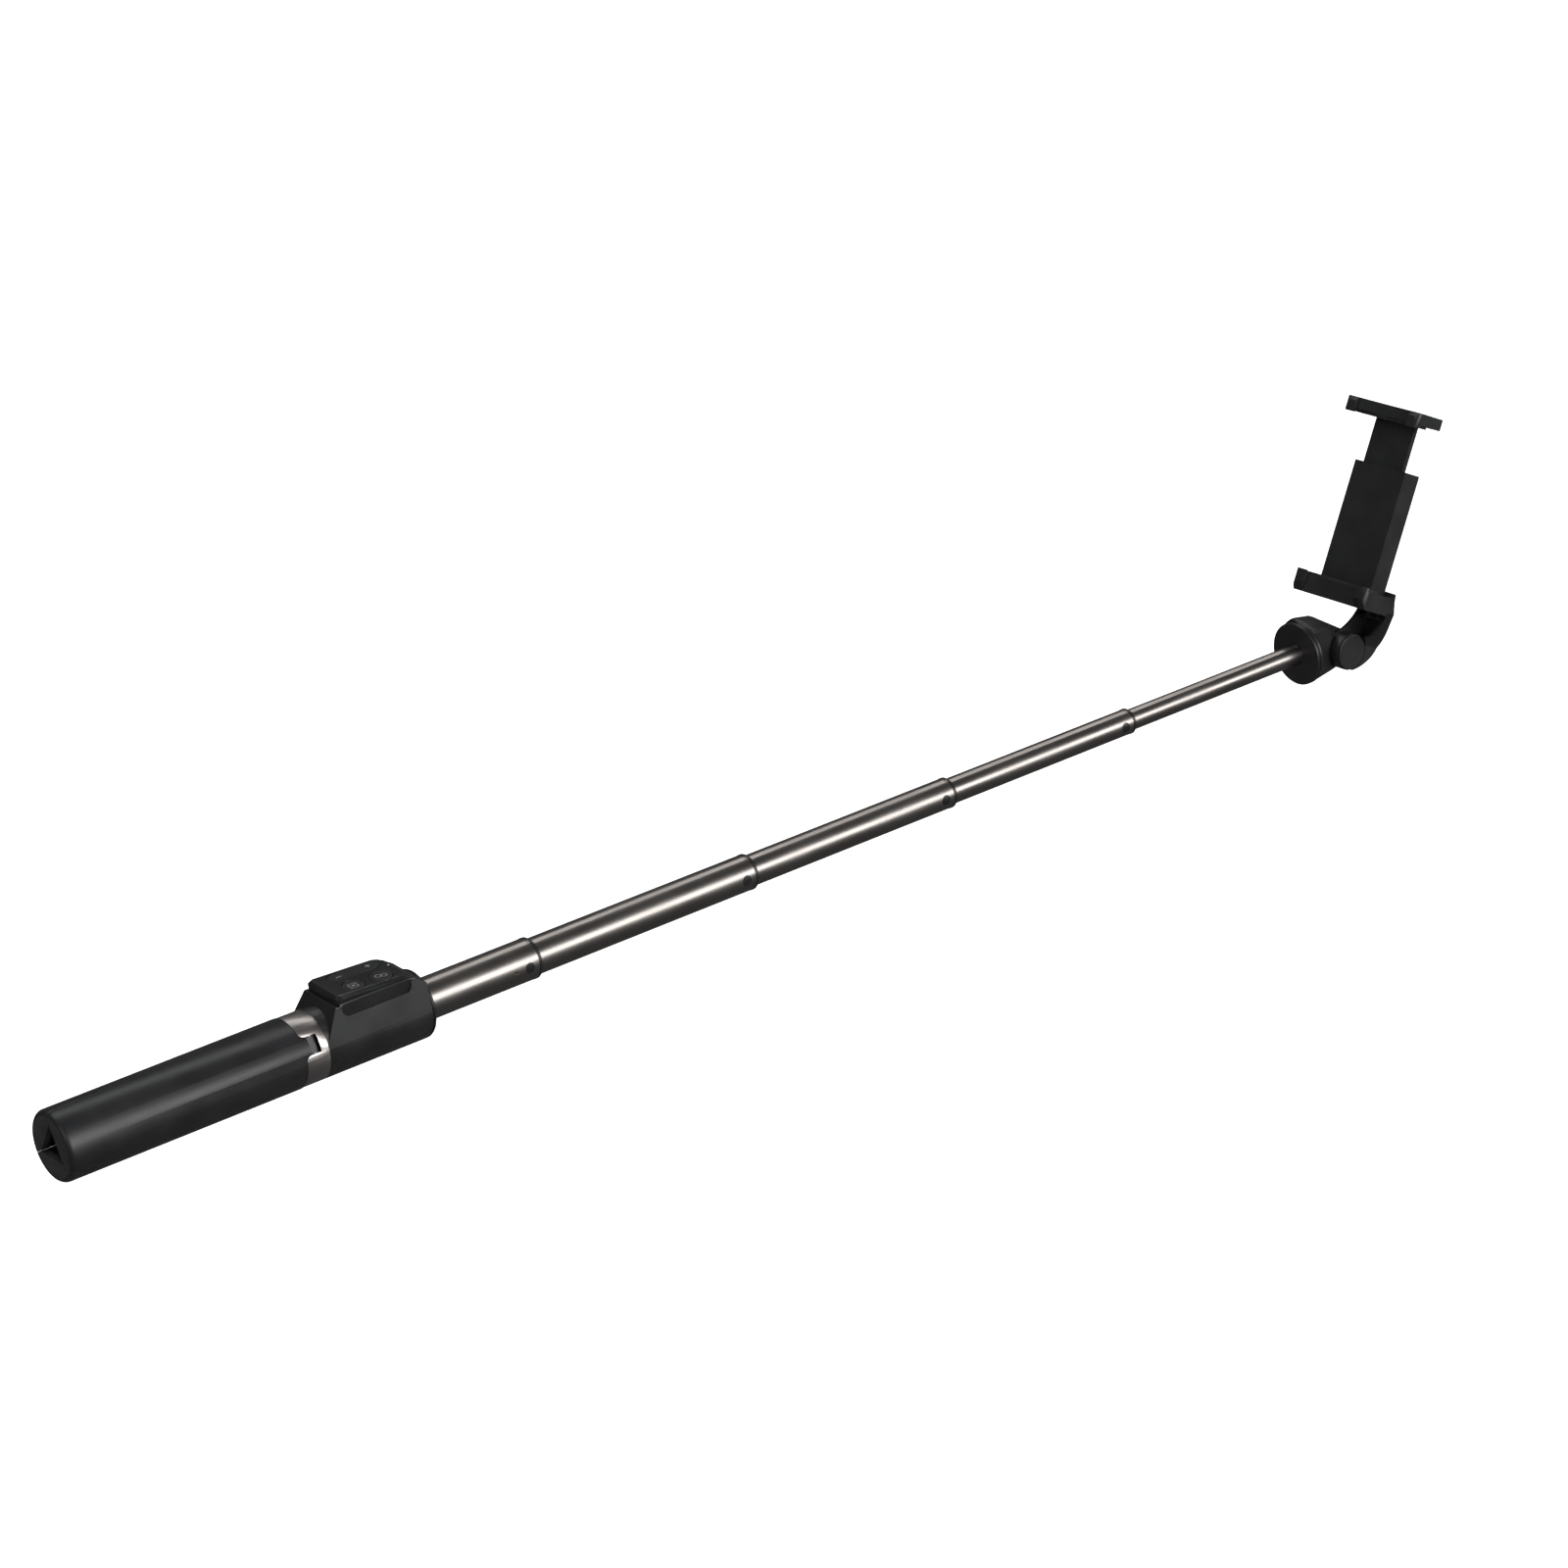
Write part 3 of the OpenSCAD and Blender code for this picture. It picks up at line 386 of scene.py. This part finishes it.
def rectangle(x, y, width, height):
    """Corners of a rectangle round x and y, its sides in millimetres."""
    w, h = width * MM / 2, height * MM / 2
    return [(x - w, y - h), (x + w, y - h), (x + w, y + h), (x - w, y + h)]


def ring(x, y, radius, count=40):
    """Points of a circle round x and y, its radius in millimetres."""
    turns = [2 * math.pi * i / count for i in range(count)]
    return [(x + radius * MM * math.cos(t), y + radius * MM * math.sin(t)) for t in turns]


def middle(node):
    """X and Y of the middle of a node's box, and the Z of its top."""
    low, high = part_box(node)
    return (low[0] + high[0]) / 2, (low[1] + high[1]) / 2, high[2]


def add_sign(name, node, body, loops):
    """Fills an engraved sign of a key, below the key's top, and moves it with the key."""
    z = middle(node)[2] - SIGN_DEPTH
    piece = extruded(name, loops, z, SIGN_RISE)
    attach(piece, body)


def add_signs():
    x, y, _ = middle("zoom_rocker")
    reach = 6.5 * MM
    minus = [(rectangle(x - reach, y, BAR, BAR_WIDTH), None)]
    add_sign("minus_sign", "zoom_rocker", "zoom_key_body", minus)
    # the plus is one bar and two stubs that meet it
    stub = (BAR - BAR_WIDTH) / 2
    stub_y = (BAR + BAR_WIDTH) / 4 * MM
    plus = [
        (rectangle(x + reach, y, BAR, BAR_WIDTH), None),
        (rectangle(x + reach, y - stub_y, BAR_WIDTH, stub), None),
        (rectangle(x + reach, y + stub_y, BAR_WIDTH, stub), None),
    ]
    add_sign("plus_sign", "zoom_rocker", "zoom_key_body", plus)
    x, y, _ = middle("lens_key")
    rings = [
        (ring(x + s * 1.1 * MM, y - s * 0.4 * MM, 1.28), ring(x + s * 1.1 * MM, y - s * 0.4 * MM, 0.92))
        for s in (-1, 1)
    ]
    add_sign("linked_rings", "lens_key", "lens_key_body", rings)
    x, y, _ = middle("shutter_key")
    frame_and_dot = [(rectangle(x, y, 3.55, 3.55), rectangle(x, y, 2.85, 2.85)), (ring(x, y, 0.68), None)]
    add_sign("frame_sign", "shutter_key", "shutter_key_body", frame_and_dot)


add_signs()
add_camera()
add_stage()
